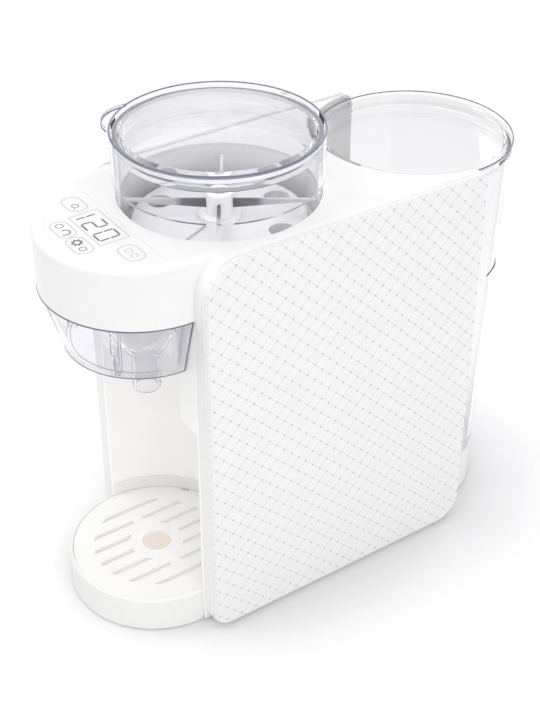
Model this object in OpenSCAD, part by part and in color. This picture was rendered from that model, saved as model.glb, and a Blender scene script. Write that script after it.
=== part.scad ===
// Baby formula maker: a slim body between two flat side panels, with a clear powder bowl
// on the deck, a clear water tank standing in a bay at the back, a mixing funnel and its
// cover under a round head, and a round drip tray below.
// Millimetres. +Z is up, the front faces -Y, and the origin is under the middle of the
// whole object, on the table.

/* [Body] */
// Width of the deck beside the powder bowl, on each side
deck_margin = 10.2; // [8:0.2:17]
// Height of the deck above the table
deck_z = 293; // [290:1:300]
// From the bowl axis forward to the front face, where the nozzle axis lies
nozzle_reach = 60; // [58:1:66]
// From the bowl axis back to the rear face, where the tank axis lies
tank_reach = 158; // [154:1:170]
// Thickness of the casing walls
wall = 2.5; // [2:0.1:2.8]
// Radius of the casing's top front corner, seen from the side
front_top_r = 26; // [20:1:28]
// Radius of the casing's bottom front corner
front_bottom_r = 14; // [10:1:16]
// Radius of the casing's bottom rear corner
rear_bottom_r = 20; // [14:1:24]
// Radius of the casing's top rear corner
rear_top_r = 8; // [5:0.5:10]
// Radius along the long edges of the deck
deck_edge_r = 6; // [3:0.5:7]
// Height of the seam between the housings and the top cover, below the deck
seam_drop = 12; // [10:0.5:15]
// Height of the rubber feet
foot_h = 2; // [1.5:0.5:3]
// Radius of each rubber foot
foot_pad_r = 8; // [6:0.5:10]
// Thickness of the base plate
base_t = 3; // [2.5:0.5:3.5]

/* [Side panels] */
// Thickness of each side panel
panel_t = 3; // [2:0.5:4]
// Margin between a panel's edge and the casing's edge
panel_margin = 0.6; // [0.3:0.1:2]
// Radius of the pegs that hold a panel
peg_r = 3; // [2.5:0.5:3.5]

/* [Head and recess] */
// Radius along the top edge of the head
head_edge_r = 4; // [2:0.5:5]
// Height of the head, from its underside up to the deck
head_h = 42; // [40:0.5:45]
// Height of the shoulders where the recess narrows
shoulder_z = 163; // [150:1:175]
// Width of each shoulder beside the narrow part of the recess
shoulder_w = 19.8; // [17:0.2:20.6]

/* [Drip tray] */
// Height of the tray's rim
tray_rim_z = 28; // [24:1:32]
// Height of the lip round the back of the tray
tray_lip_z = 36; // [34:0.5:42]
// Thickness of the tray's wall
tray_t = 2.2; // [1.8:0.1:2.6]
// Thickness of the grille
grille_t = 3; // [2:0.5:4]
// Radius of the hole in the middle of the grille
grille_hole_r = 10.4; // [8:0.2:12]
// Radius of the plain boss round that hole
grille_boss_r = 19; // [17:0.5:21]
// Radius within which the grille is slotted
slot_reach_r = 45; // [40:1:50]
// Distance from one row of slots to the next
slot_pitch = 13.2; // [11:0.2:14]
// Width of a slot
slot_w = 4; // [3:0.5:5]

/* [Powder bowl] */
// Outer radius of the powder bowl, and of the head in front of it
bowl_r = 64.8; // [64:0.2:66]
// Thickness of the bowl's wall
bowl_t = 2.2; // [1.8:0.1:2.4]
// Height of the bowl's rim above the deck
bowl_stand = 38; // [35:0.5:44]
// Depth of the bowl's underside below the deck
bowl_sink = 28.7; // [27:0.1:28.7]
// Distance from the powder outlet's axis forward to the outside of the bowl
outlet_margin = 20.8; // [18.8:0.2:22.8]
// Radius of the powder outlet
outlet_r = 9; // [7:0.5:9.5]

/* [Powder lid] */
// Thickness of the lid's skirt
lid_skirt_t = 2.2; // [1.8:0.1:2.8]
// Height of the lid's rim above the bowl's rim
lid_rise = 6; // [5:0.5:8]
// Depth of the lid's skirt below its rim
lid_skirt_h = 32; // [22:1:35]
// Depth of the dish in the lid
lid_dish = 11; // [9:0.5:12]
// How far the thumb tab stands out from the lid
tab_reach = 7.5; // [6:0.5:9]
// Radius of the thumb tab's rounded outline
tab_round_r = 24; // [16:1:28]

/* [Powder metering] */
// Gap between the metering wheel and the bowl's wall
wheel_margin = 6.6; // [4.6:0.2:7.6]
// Thickness of the metering wheel
wheel_t = 8; // [6:0.5:9]
// Number of powder pockets in the metering wheel
pocket_count = 6; // [4:1:7]
// Radius of a powder pocket
pocket_r = 8.5; // [7:0.5:9]
// Height of the middle of the stirring arms
arm_z = 284; // [281:0.5:288]
// Radius of the stirrer's hub
hub_r = 8.5; // [8:0.5:10]
// Gap between the tips of the stirring arms and the bowl's wall
arm_margin = 2.1; // [1.5:0.1:7]
// Number of stirring arms
arm_count = 4; // [2:1:6]

/* [Drive] */
// Tooth module of the drive gears
gear_module = 1; // [0.9:0.05:1.05]
// Teeth on the drive gear
gear_teeth = 48; // [44:4:48]
// Teeth on the motor pinion
pinion_teeth = 16; // [12:4:20]
// Width of the gears
gear_w = 5; // [4:0.5:5]
// Radius of the drive shaft
shaft_r = 5; // [4:0.5:6]
// Radius of the gear motor
motor_r = 17; // [15:0.5:18]
// Length of the gear motor
motor_len = 55; // [45:1:65]

/* [Water tank] */
// How much narrower the bay that holds the tank is than the casing, on each side
bay_margin = 5; // [4:0.5:6]
// Gap between the tank lid and the wall of the bay
bay_gap = 2; // [1:0.1:3]
// How far the tank lid's rim stands out from the tank
tank_lid_over = 1.5; // [1.5:0.1:2.5]
// How much narrower the tank is at its base than at its rim, on each side
tank_draft = 7; // [5:0.5:8.5]
// Thickness of the tank's wall
tank_t = 2.5; // [2:0.1:3]
// Depth of the tank's rim below the deck
tank_rim_drop = 9; // [7:0.5:12]
// Height of the bead round the tank
tank_bead_z = 195; // [180:1:210]
// Height of the tank lid's rim above the tank's rim
tank_lid_rise = 6; // [5:0.5:8]
// Depth of the dish in the tank lid
tank_lid_dish = 9; // [6:0.5:10]
// Height of the foot that the tank stands on
dock_z = 36; // [34:1:40]
// Outer radius of the spigot under the tank
spigot_r = 12; // [11:0.5:13]
// How far the valve is lifted while the tank stands on its foot
valve_lift = 3; // [2:0.5:4]

/* [Mixing funnel] */
// Height of the bottom of the funnel cover
cover_base_z = 207; // [204:1:212]
// How much narrower the funnel cover is at its bottom than at its top, on each side
cover_taper = 13.1; // [10.9:0.2:14.7]
// Thickness of the clear funnel parts
funnel_t = 2; // [1.6:0.1:2.2]
// Outer radius of the nozzle
nozzle_r = 9.5; // [8.5:0.5:10]
// Height of the nozzle's tip
nozzle_z = 165; // [160:1:172]

/* [Hidden] */
$fn = 96;
eps = 0.5;
// gap between pieces that lift or slide past each other
gap = 0.3;
// radial gap of a running shaft
run_gap = 0.06;

half_w = bowl_r + deck_margin;
inner_w = half_w - wall;
head_r = bowl_r;
recess_r = head_r - wall;
niche_half_w = recess_r - shoulder_w;
bay_r = half_w - bay_margin;
tank_lid_r = bay_r - bay_gap;
tank_top_r = tank_lid_r - tank_lid_over;
tank_base_r = tank_top_r - tank_draft;
dock_r = tank_base_r;
// the four vertical axes, with the origin under the middle of the whole object
bowl_y = (nozzle_reach + head_r - tank_reach - tank_lid_r) / 2;
nozzle_y = bowl_y - nozzle_reach;
tank_y = bowl_y + tank_reach;
base_top = foot_h + base_t;
deck_under = deck_z - wall;
seam_z = deck_z - seam_drop;
head_under_z = deck_z - head_h;
bowl_rim_z = deck_z + bowl_stand;
bowl_base_z = deck_z - bowl_sink;
outlet_reach = bowl_r - outlet_margin;
tank_rim_z = deck_z - tank_rim_drop;
tank_lid_z = tank_rim_z + tank_lid_rise;
ceiling_z = head_under_z + wall;

// bowl well under the deck
well_r = bowl_r + 0.6;
well_floor_z = bowl_base_z - gap;
well_under_z = well_floor_z - wall;
// bowl
bowl_floor_top = bowl_base_z + bowl_t;
// lid
lid_t = 2.2;
lid_top_z = bowl_rim_z + lid_rise;
lid_skirt_z = lid_top_z - lid_skirt_h;
lid_r = bowl_r + gap + lid_skirt_t;
lid_dish_z = lid_top_z - lid_dish;
lid_wall_in_r = bowl_r + gap;
lid_plug_r = bowl_r - bowl_t - gap;
// metering wheel and stirrer
wheel_r = bowl_r - bowl_t - wheel_margin;
arm_reach = bowl_r - bowl_t - arm_margin;
wheel_z = bowl_floor_top + gap;
wheel_top = wheel_z + wheel_t;
scraper_z = wheel_top + gap;
scraper_t = 1.6;
dog_r = 5.5;
dog_top = bowl_floor_top + 6;
hub_top = arm_z + 11;
// drive train, between the head's floor and the bowl well
gear_z = ceiling_z + 1;
centre_gap = 0.1;
motor_y = bowl_y + gear_module * (gear_teeth + pinion_teeth) / 2 + centre_gap;
bracket_t = 2;
bracket_top = gear_z - 0.6;
bracket_z = bracket_top - bracket_t;
motor_top = bracket_z;
// tray
tray_r = recess_r - gap;
tray_floor_z = base_top + 0.4;
tray_skirt_z = 1;
tray_ledge_z = tray_rim_z - grille_t - 0.5;
tray_edge_r = 3;
grille_r = tray_r - tray_t - gap;
// tank and dock
socket_r = spigot_r + 4;
socket_floor_z = 20;
seal_t = 4;
spigot_z = socket_floor_z + seal_t;
tank_base_z = dock_z + gap;
tank_floor_top = tank_base_z + 3;
valve_bore_r = 6;
pin_r = 2;
valve_stem_r = 2.2;
valve_disc_r = 9;
valve_disc_t = 2;
washer_t = 1.2;
valve_rest_z = tank_floor_top + valve_lift;
cage_r = 13;
cage_top = tank_floor_top + 22;
spring_turns = 5;
spring_wire = 0.5;
spring_r = 6;
// funnel
cover_base_r = head_r - cover_taper;
mouth_r = niche_half_w - 3;
rail_z = 228;
rail_h = 3;
funnel_top = head_under_z - 4;
cone_end_z = 190;
chute_r = outlet_r + 3;
chute_bottom = funnel_top + 1.5;
// panel pegs, as [y, z]
peg_spots = [
    [nozzle_y + 24, 40],
    [nozzle_y + 24, 250],
    [tank_y - 95, 40],
    [tank_y - 95, 262]];
// long screws that join the housings, as [y, z], inside the cavity; two lie between the
// recess and the heater, below it and above it
front_screw_y = nozzle_y + head_r + 8;
case_spots = [
    [front_screw_y, 41],
    [tank_y - 82, 36],
    [front_screw_y, motor_top - motor_len - 8],
    [tank_y - 82, well_under_z - 9.5]];
// screws up through the base plate, as [x, y]
base_spots = [
    [inner_w - 9, bowl_y - 20],
    [inner_w - 9, bowl_y + 40],
    [inner_w - 9, tank_y - 54]];
// rubber feet, as [x, y]
foot_spots = [
    [32, nozzle_y - 30],
    [56, bowl_y + 24],
    [32, tank_y + 28]];

// ---- shared shapes ----

// the part of a square corner that lies outside its rounding; sx, sy point inwards
module corner_cut(cx, cy, sx, sy, r) {
    translate([cx, cy])
        difference() {
            polygon([[-sx, -sy], [sx * r, -sy], [sx * r, sy * r], [-sx, sy * r]]);
            translate([sx * r, sy * r]) circle(r);
        }
}

// side outline of the casing in Y and Z, drawn in by an inset
module side_outline(inset = 0) {
    y0 = nozzle_y + inset;
    y1 = tank_y - inset;
    z0 = foot_h + inset;
    z1 = deck_z - inset;
    difference() {
        translate([y0, z0]) square([y1 - y0, z1 - z0]);
        corner_cut(y0, z1, 1, -1, front_top_r - inset);
        corner_cut(y0, z0, 1, 1, front_bottom_r - inset);
        corner_cut(y1, z0, -1, 1, rear_bottom_r - inset);
        corner_cut(y1, z1, -1, -1, rear_top_r - inset);
    }
}

// extrudes a Y-Z outline from x0 to x1
module across(x0, x1) {
    translate([x0, 0, 0])
        rotate([90, 0, 90])
            linear_extrude(x1 - x0) children();
}

// extrudes an X-Z outline from y0 to y1
module along(y0, y1) {
    translate([0, y1, 0])
        rotate([90, 0, 0])
            linear_extrude(y1 - y0) children();
}

// X-Z block with rounded top edges
module arch_outline(half, z0, z1, r) {
    difference() {
        translate([-half, z0]) square([2 * half, z1 - z0]);
        corner_cut(half, z1, -1, -1, r);
        corner_cut(-half, z1, 1, -1, r);
    }
}

// plain box from its low corner to its high corner
module block(low, high) {
    translate(low) cube(high - low);
}

module tube(r_in, r_out, z0, z1) {
    translate([0, 0, z0])
        difference() {
            cylinder(r = r_out, h = z1 - z0);
            translate([0, 0, -eps]) cylinder(r = r_in, h = z1 - z0 + 2 * eps);
        }
}

module disc(r, z0, z1) {
    translate([0, 0, z0]) cylinder(r = r, h = z1 - z0);
}

module on_both_sides() {
    children();
    mirror([1, 0, 0]) children();
}

// round bar from p to q
module bar(p, q, r) {
    d = q - p;
    translate(p)
        rotate([0, acos(d[2] / norm(d)), atan2(d[1], d[0])])
            cylinder(r = r, h = norm(d));
}

// hose through a list of points, as one tube whose bends are rounded to a radius
function unit(v) = v / norm(v);

function bend(a, b, c, r) =
    let (p = b + unit(a - b) * r, q = b + unit(c - b) * r)
    [for (t = [0:0.2:1.01]) (1 - t) * (1 - t) * p + 2 * t * (1 - t) * b + t * t * q];

function route(points, r) = [
    points[0],
    for (i = [1:len(points) - 2]) each bend(points[i - 1], points[i], points[i + 1], r),
    points[len(points) - 1]];

function heading(path, i) =
    i == 0 ? unit(path[1] - path[0])
    : i == len(path) - 1 ? unit(path[i] - path[i - 1])
    : unit(unit(path[i + 1] - path[i]) + unit(path[i] - path[i - 1]));

// side directions carried along the path without twist
function sides_along(path, i, last) =
    let (t = heading(path, i), n = unit(last - (last * t) * t))
    i == len(path) - 1 ? [n] : concat([n], sides_along(path, i + 1, n));

module hose(points, r, bend_r, side) {
    n = 10;
    path = route(points, bend_r);
    side_dirs = sides_along(path, 0, side);
    rings = [for (i = [0:len(path) - 1])
        let (t = heading(path, i), u = side_dirs[i], v = cross(t, u))
        for (k = [0:n - 1]) path[i] + r * (cos(k * 360 / n) * u + sin(k * 360 / n) * v)];
    walls = [for (i = [0:len(path) - 2]) for (k = [0:n - 1])
        let (a = i * n + k, b = i * n + (k + 1) % n)
        each [[a, b + n, b], [a, a + n, b + n]]];
    first = [for (k = [1:n - 2]) [0, k, k + 1]];
    end = (len(path) - 1) * n;
    last = [for (k = [1:n - 2]) [end, end + k + 1, end + k]];
    polyhedron(rings, concat(walls, first, last));
}

// spur gear with straight-flanked teeth, and backlash; a tooth lies on +X
function gear_point(n, i, k) =
    let (turn = [-0.28, -0.12, 0.12, 0.28][k],
         depth = (k == 0 || k == 3) ? -1.25 : 0.9,
         r = gear_module * (n / 2 + depth),
         a = (i + turn) * 360 / n)
    [r * cos(a), r * sin(a)];

module spur_gear(teeth, bore) {
    linear_extrude(gear_w)
        difference() {
            polygon([for (i = [0:teeth - 1]) for (k = [0:3]) gear_point(teeth, i, k)]);
            circle(bore);
        }
}

// crescent-shaped thumb tab of a lid, standing out at an angle, from z0 up to z1
module thumb_tab(angle, r, z0, z1) {
    rotate([0, 0, angle])
        difference() {
            translate([r + tab_reach - tab_round_r, 0, 0]) disc(tab_round_r, z0, z1);
            disc(r - 0.7, z0 - eps, z1 + eps);
        }
}

// ---- base ----

module base_outline() {
    block([-inner_w + gap, nozzle_y + front_bottom_r + 3, foot_h],
          [inner_w - gap, tank_y - rear_bottom_r - 3, base_top]);
    block([-head_r + gap, nozzle_y, foot_h],
          [head_r - gap, tank_y - rear_bottom_r - 3, base_top]);
    translate([0, nozzle_y, 0]) disc(tray_r - tray_t - gap, foot_h, base_top);
    translate([0, tank_y, 0]) disc(dock_r - wall - gap, foot_h, base_top);
}

module screw_hole(r) {
    cylinder(r = r, h = 40);
    cylinder(r = 2 * r, h = 1.6);
}

module base_plate() {
    color("gainsboro")
        difference() {
            base_outline();
            on_both_sides()
                for (s = base_spots)
                    translate([s[0], s[1], foot_h - 0.01]) screw_hole(2);
            // cooling slots under the electronics
            for (i = [-3:3])
                block([i * 8 - 1.5, bowl_y + 42, 0], [i * 8 + 1.5, bowl_y + 72, 10]);
        }
}

module rubber_feet() {
    color("dimgray")
        on_both_sides()
            for (s = foot_spots)
                translate([s[0], s[1], 0]) cylinder(r = foot_pad_r, h = foot_h);
}

module base_screws() {
    color("silver")
        on_both_sides()
            for (s = base_spots)
                translate([s[0], s[1], foot_h + 0.1]) {
                    cylinder(r = 3.7, h = 1.4);
                    cylinder(r = 1.5, h = 11);
                }
}

// ---- housings and panels ----

module housing(side) {
    flange_z = base_top + 2.5;
    difference() {
        union() {
            across(inner_w, half_w) side_outline();
            // front and rear rims, at the strips beside the recess and the bay
            difference() {
                across(head_r + 0.1, inner_w + eps) side_outline();
                across(head_r - eps, inner_w + 2 * eps) side_outline(wall);
                block([0, nozzle_y + front_bottom_r + 2.7, -eps],
                      [half_w, tank_y - rear_bottom_r - 2.7, deck_z + eps]);
            }
            // floor flange with screw bosses
            block([inner_w - 15, bowl_y - 8, base_top], [inner_w + eps, bowl_y + 88, flange_z]);
            for (s = base_spots)
                translate([s[0], s[1], base_top]) cylinder(r = 4.5, h = 12);
            for (s = base_spots)
                block([s[0], s[1] - 1, base_top], [inner_w + eps, s[1] + 1, base_top + 12]);
            // bosses that meet the other half at the middle
            for (s = case_spots) bar([0.05, s[0], s[1]], [inner_w + eps, s[0], s[1]], 4.5);
        }
        block([-eps, nozzle_y - eps, seam_z], [half_w + eps, tank_y + eps, deck_z + eps]);
        translate([0, tank_y, 0]) disc(bay_r + wall + 0.1, -eps, deck_z);
        for (s = base_spots)
            translate([s[0], s[1], foot_h]) cylinder(r = 1.55, h = 12);
        for (s = case_spots) bar([-eps, s[0], s[1]], [half_w + eps, s[0], s[1]], 2);
        for (s = case_spots) bar([inner_w - 8, s[0], s[1]], [half_w + eps, s[0], s[1]], 3.6);
        for (s = peg_spots) bar([inner_w - eps, s[0], s[1]], [half_w + eps, s[0], s[1]], peg_r + 0.2);
    }
}

module right_housing() {
    color("white") housing();
}

module left_housing() {
    color("white") mirror([1, 0, 0]) housing();
}

// long screws with their nuts
module case_screws() {
    seat_x = inner_w - 7.9;
    color("silver")
        for (s = case_spots) {
            bar([-seat_x - 1.5, s[0], s[1]], [seat_x + 0.01, s[0], s[1]], 1.9);
            bar([seat_x, s[0], s[1]], [seat_x + 3, s[0], s[1]], 3.4);
            bar([-seat_x - 3, s[0], s[1]], [-seat_x, s[0], s[1]], 3.4);
        }
}

module panel() {
    bevel = 0.8;
    across(half_w, half_w + panel_t - bevel) side_outline(panel_margin);
    across(half_w + panel_t - bevel - 0.01, half_w + panel_t)
        side_outline(panel_margin + bevel);
    for (s = peg_spots) bar([inner_w - 1, s[0], s[1]], [half_w + eps, s[0], s[1]], peg_r);
}

module right_panel() {
    color("whitesmoke") panel();
}

module left_panel() {
    color("whitesmoke") mirror([1, 0, 0]) panel();
}

// ---- top cover, head and recess ----

// outline of the head in R and Z, for a half turn
module head_outline(r, z1, edge) {
    difference() {
        translate([0, head_under_z]) square([r, z1 - head_under_z]);
        corner_cut(r, z1, -1, -1, edge);
    }
}

module cover_solid(inset) {
    r = head_r - inset;
    z1 = deck_z - inset;
    lap = inset > 0 ? eps : 0;
    intersection() {
        across(-half_w + inset, half_w - inset) side_outline(inset);
        along(nozzle_y, tank_y)
            arch_outline(half_w - inset, seam_z - lap, z1, deck_edge_r - inset);
    }
    intersection() {
        translate([0, nozzle_y, -lap])
            rotate_extrude() head_outline(r, z1 + lap, head_edge_r - inset);
        block([-half_w, nozzle_y - head_r - eps, 0], [half_w, nozzle_y + 0.01, deck_z]);
    }
    along(nozzle_y, nozzle_y + front_top_r)
        arch_outline(r, head_under_z - lap, z1, head_edge_r - inset);
}

// posts under the top cover: one pair for the head's floor, one for the display board
floor_post_x = head_r - 14.8;
board_post_reach = head_r - 22.8;

module top_cover() {
    post_top = deck_under + 0.5;
    color("white")
        difference() {
            union() {
                difference() {
                    cover_solid(0);
                    cover_solid(wall);
                }
                // posts that the head's floor and the display board screw to
                on_both_sides() {
                    translate([floor_post_x, nozzle_y - 18, 0]) disc(4, ceiling_z, post_top);
                    translate([30, nozzle_y - board_post_reach, 0])
                        disc(3, display_z + display_t, post_top);
                }
            }
            translate([0, bowl_y, 0]) disc(well_r, seam_z - 5, deck_z + eps);
            translate([0, tank_y, 0]) disc(bay_r, seam_z - eps, deck_z + eps);
            translate([0, 0, deck_z - film_t]) linear_extrude(1) film_outline(0);
            block([-window_w / 2, window_y - window_d / 2, deck_under - eps],
                  [window_w / 2, window_y + window_d / 2, deck_z + eps]);
        }
}

module head_floor() {
    color("white")
        difference() {
            translate([0, nozzle_y, 0]) disc(recess_r - 0.05, head_under_z, ceiling_z);
            translate([0, bowl_y - outlet_reach, 0]) disc(chute_r + 0.1, 0, deck_z);
            translate([spout_x, spout_y, 0]) disc(spout_r + 0.1, 0, deck_z);
            on_both_sides()
                translate([floor_post_x, nozzle_y - 18, head_under_z - 0.01]) screw_hole(1.6);
        }
}

// the narrow upper part of the recess, seen from above
module niche_outline(half) {
    intersection() {
        translate([0, nozzle_y]) circle(recess_r);
        translate([-half, nozzle_y - eps]) square([2 * half, recess_r + 2 * eps]);
    }
}

module recess_liner() {
    top = head_under_z;
    color("white")
        difference() {
            union() {
                // round back wall
                difference() {
                    translate([0, nozzle_y, 0]) disc(head_r, base_top, top);
                    translate([0, nozzle_y, 0]) disc(recess_r, base_top - eps, top + eps);
                    block([-half_w, nozzle_y - head_r - eps, 0],
                          [half_w, nozzle_y, deck_z]);
                }
                // shoulders: hollow boxes beside the niche
                difference() {
                    intersection() {
                        translate([0, nozzle_y, 0]) disc(recess_r + 1, shoulder_z, top);
                        block([-recess_r, nozzle_y, shoulder_z], [recess_r, bowl_y + 5, top]);
                    }
                    block([-niche_half_w, nozzle_y - eps, shoulder_z - eps],
                          [niche_half_w, bowl_y + 5, top + eps]);
                    on_both_sides()
                        block([niche_half_w + wall, nozzle_y + wall, shoulder_z + wall],
                              [head_r, bowl_y + 5, top + eps]);
                }
                // rails that carry the mixing funnel
                on_both_sides()
                    block([niche_half_w - 2, nozzle_y + 4, rail_z],
                          [niche_half_w + eps, nozzle_y + 40, rail_z + rail_h]);
            }
            // vent for steam at the back of the niche
            for (i = [-2:2])
                block([i * 6 - 1, nozzle_y + recess_r - 6, shoulder_z + 60],
                      [i * 6 + 1, nozzle_y + head_r + 3, shoulder_z + 76]);
        }
}

module rear_cover() {
    color("white")
        difference() {
            union() {
                translate([0, tank_y, 0]) disc(bay_r + wall, base_top + 0.3, deck_under);
                // posts that carry the main board
                on_both_sides()
                    for (z = [board_z + 8, board_z + board_h - 8])
                        bar([24, board_y + board_t, z], [24, tank_y - bay_r + 8, z], 3.5);
            }
            translate([0, tank_y, 0]) disc(bay_r, 0, deck_z);
            block([-half_w - eps, tank_y, 0], [half_w + eps, tank_y + bay_r + wall + 1, deck_z]);
            // room for the rear edge of the top cover, with its rounded corner
            block([-half_w - eps, tank_y - rear_top_r - 0.2, seam_z - 0.2],
                  [half_w + eps, tank_y + eps, deck_z]);
            // drawn in under the rounded side edges of the top cover
            on_both_sides()
                along(tank_y - bay_r / 2, tank_y)
                    polygon([
                        [half_w - deck_edge_r - 0.3, deck_under + 0.1],
                        [half_w - wall + 0.3, deck_under - deck_edge_r + wall - 0.5],
                        [half_w + 1, deck_under - deck_edge_r + wall - 0.5],
                        [half_w + 1, deck_under + 1],
                        [half_w - deck_edge_r - 0.3, deck_under + 1]]);
            // way through for the supply hose
            translate([0, tank_y - bay_r + 2, 14]) rotate([90, 0, 0]) cylinder(r = 6, h = 8);
        }
}

module bowl_well() {
    color("white")
        translate([0, bowl_y, 0])
            difference() {
                union() {
                    disc(well_r + wall, well_under_z, well_floor_z);
                    tube(well_r, well_r + wall, well_floor_z - 0.01, deck_under);
                    // posts that carry the motor bracket
                    for (p = bracket_posts)
                        translate([p[0], p[1], 0]) disc(3.5, bracket_top, well_under_z + 0.01);
                }
                disc(shaft_r + run_gap, 0, deck_z);
                translate([0, -outlet_reach, 0]) disc(chute_r + 0.1, 0, deck_z);
            }
}

// posts beside the drive gear, as [x, y] from the bowl axis
bracket_posts = [[-29, 14], [29, 14], [-26, 50], [26, 50]];

// ---- controls ----

film_t = 0.5;
window_w = 42;
window_d = 18;
window_y = bowl_y - 86;
display_t = 1.6;
display_z = deck_under - 6;

// touch film on the head, a round field cut off straight in front of the bowl
module film_outline(inset) {
    intersection() {
        translate([0, nozzle_y]) circle(head_r - 8 - inset);
        translate([-half_w, nozzle_y - head_r])
            square([2 * half_w, head_r - (nozzle_reach - well_r) - 18 - inset]);
    }
}

module control_film() {
    color("whitesmoke")
        translate([0, 0, deck_z - film_t]) linear_extrude(film_t) film_outline(0.1);
}

// the display board ends short of the bowl well
board_front_y = nozzle_y - 52;
board_rear_y = bowl_y - well_r - wall - 4.1;

module display_board() {
    color("seagreen")
        difference() {
            translate([0, 0, display_z])
                linear_extrude(display_t)
                    intersection() {
                        translate([0, nozzle_y]) circle(recess_r - 4);
                        translate([-44, board_front_y]) square([88, board_rear_y - board_front_y]);
                    }
        }
}

module display_digits() {
    color("dimgray")
        block([-19, window_y - 8, display_z + display_t], [19, window_y + 8, deck_z - film_t - 0.1]);
}

// ---- powder drive ----

module motor_bracket() {
    color("silver")
        difference() {
            translate([0, 0, bracket_z])
                linear_extrude(bracket_t)
                    translate([-34, bowl_y + 9.5]) square([68, 45]);
            translate([0, motor_y, 0]) disc(4.4, 0, deck_z);
            for (p = bracket_posts)
                translate([p[0], bowl_y + p[1], 0]) disc(1.6, 0, deck_z);
        }
}

module dosing_motor() {
    gearbox = 20;
    color("silver")
        translate([0, motor_y, 0]) {
            disc(motor_r, motor_top - gearbox, motor_top);
            disc(motor_r - 2, motor_top - motor_len, motor_top - gearbox);
            disc(3, motor_top - motor_len - 2.5, motor_top - motor_len);
            disc(4.2, motor_top - 0.01, gear_z - 0.2);
        }
}

// the pinion and the motor's turning shaft
module motor_pinion() {
    color("goldenrod")
        translate([0, motor_y, gear_z])
            rotate([0, 0, 180 / pinion_teeth + 90]) {
                spur_gear(pinion_teeth, 1);
                cylinder(r = 2.4, h = gear_w);
            }
}

// the gear, its shaft and the six-sided dog that turns the metering wheel
module drive_gear() {
    color("ivory")
        translate([0, bowl_y, 0]) {
            rotate([0, 0, 90 - 360 / gear_teeth * round(gear_teeth / 4)])
                translate([0, 0, gear_z]) spur_gear(gear_teeth, 1);
            disc(shaft_r, gear_z, well_floor_z + 0.2);
            translate([0, 0, well_floor_z]) cylinder(r = dog_r, h = dog_top - well_floor_z, $fn = 6);
        }
}

module powder_chute() {
    color("white")
        translate([0, bowl_y - outlet_reach, 0])
            tube(outlet_r + 1, chute_r, chute_bottom, well_floor_z);
}

// ---- water path ----

spout_r = 4;
spout_x = 24;
spout_y = nozzle_y + 4;
spout_z = ceiling_z + 4;
pump_x = -(inner_w - 34.5);
pump_y = tank_y - 108;
pump_port_z = 52;
heater_x = inner_w - 34.5;
heater_y = tank_y - 114;
heater_r = 19;
heater_z = 60;
heater_h = 110;
clamp_h = 16;
hose_r = 4;

// elbow that lets the warm water down into the funnel
module water_spout() {
    color("white")
        difference() {
            union() {
                translate([spout_x, spout_y, 0]) disc(spout_r, funnel_top + 1.5, spout_z + 2.8);
                bar([spout_x, spout_y, spout_z], [spout_x + 8, spout_y, spout_z], 2.4);
            }
            translate([spout_x, spout_y, 0]) disc(2.5, funnel_top, spout_z + 0.8);
            bar([spout_x, spout_y, spout_z], [spout_x + 9, spout_y, spout_z], 1.4);
        }
}

module water_pump() {
    color("darkslategray") {
        translate([pump_x, pump_y, 0]) {
            block([-16, -16, base_top], [16, 16, base_top + 26]);
            disc(14, base_top + 26 - 0.01, base_top + 62);
        }
        bar([pump_x + 16 - eps, pump_y, 14], [pump_x + 24, pump_y, 14], 3);
        bar([pump_x + 14 - eps, pump_y, pump_port_z], [pump_x + 20, pump_y, pump_port_z], 3);
    }
}

module water_heater() {
    color("silver")
        translate([heater_x, heater_y, 0]) {
            disc(heater_r, heater_z, heater_z + heater_h);
            disc(6, heater_z - 6, heater_z);
            disc(3, heater_z - 12, heater_z - 6);
            disc(6, heater_z + heater_h, heater_z + heater_h + 6);
            disc(3, heater_z + heater_h + 6, heater_z + heater_h + 14);
        }
}

// clamp that holds the heater to the right housing
module heater_clamp() {
    z0 = heater_z + heater_h / 2 - clamp_h / 2 - 2;
    color("gainsboro")
        difference() {
            union() {
                translate([heater_x, heater_y, 0]) disc(heater_r + 3, z0, z0 + clamp_h);
                block([heater_x, heater_y - 12, z0], [inner_w, heater_y + 12, z0 + clamp_h]);
            }
            translate([heater_x, heater_y, 0]) disc(heater_r + 0.1, 0, deck_z);
        }
}

module supply_hose() {
    z0 = 14;
    color("lightgray")
        hose([
            [0, tank_y - socket_r - 2.9, z0],
            [0, tank_y - 82, z0],
            [10, pump_y, z0],
            [pump_x + 24, pump_y, z0]], hose_r, 12, [0, 0, 1]);
}

module pressure_hose() {
    z0 = 30;
    color("lightgray")
        hose([
            [pump_x + 20.1, pump_y, pump_port_z],
            [4, pump_y, pump_port_z],
            [16, heater_y, z0],
            [heater_x, heater_y, z0],
            [heater_x, heater_y, heater_z - 12]], hose_r, 10, [0, 0, 1]);
}

module outlet_hose() {
    color("lightgray")
        hose([
            [heater_x, heater_y, heater_z + heater_h + 14.1],
            [heater_x, heater_y, 238],
            [head_r - 10.8, bowl_y + 20, 250],
            [head_r - 8.8, bowl_y - 14, spout_z],
            [head_r - 10.8, spout_y, spout_z],
            [spout_x + 8.1, spout_y, spout_z]], hose_r - 1, 6, [1, 0, 0]);
}

board_y = tank_y - bay_r - wall - 13.5;
board_z = 64;
// the tall components stay left of the heater
tall_x = 14;
board_h = 112;
board_t = 1.6;

module main_board() {
    color("seagreen") {
        block([-38, board_y, board_z], [38, board_y + board_t, board_z + board_h]);
        block([-30, board_y - 14, 130], [-6, board_y + 0.1, 160]);
        block([-2, board_y - 8, 138], [tall_x, board_y + 0.1, 156]);
        for (i = [0:2])
            translate([-26 + i * 16, board_y + 0.1, 92]) rotate([90, 0, 0]) cylinder(r = 5, h = 10);
        block([-34, board_y - 8, board_z + 4], [tall_x, board_y + 0.1, board_z + 12]);
    }
}

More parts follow.
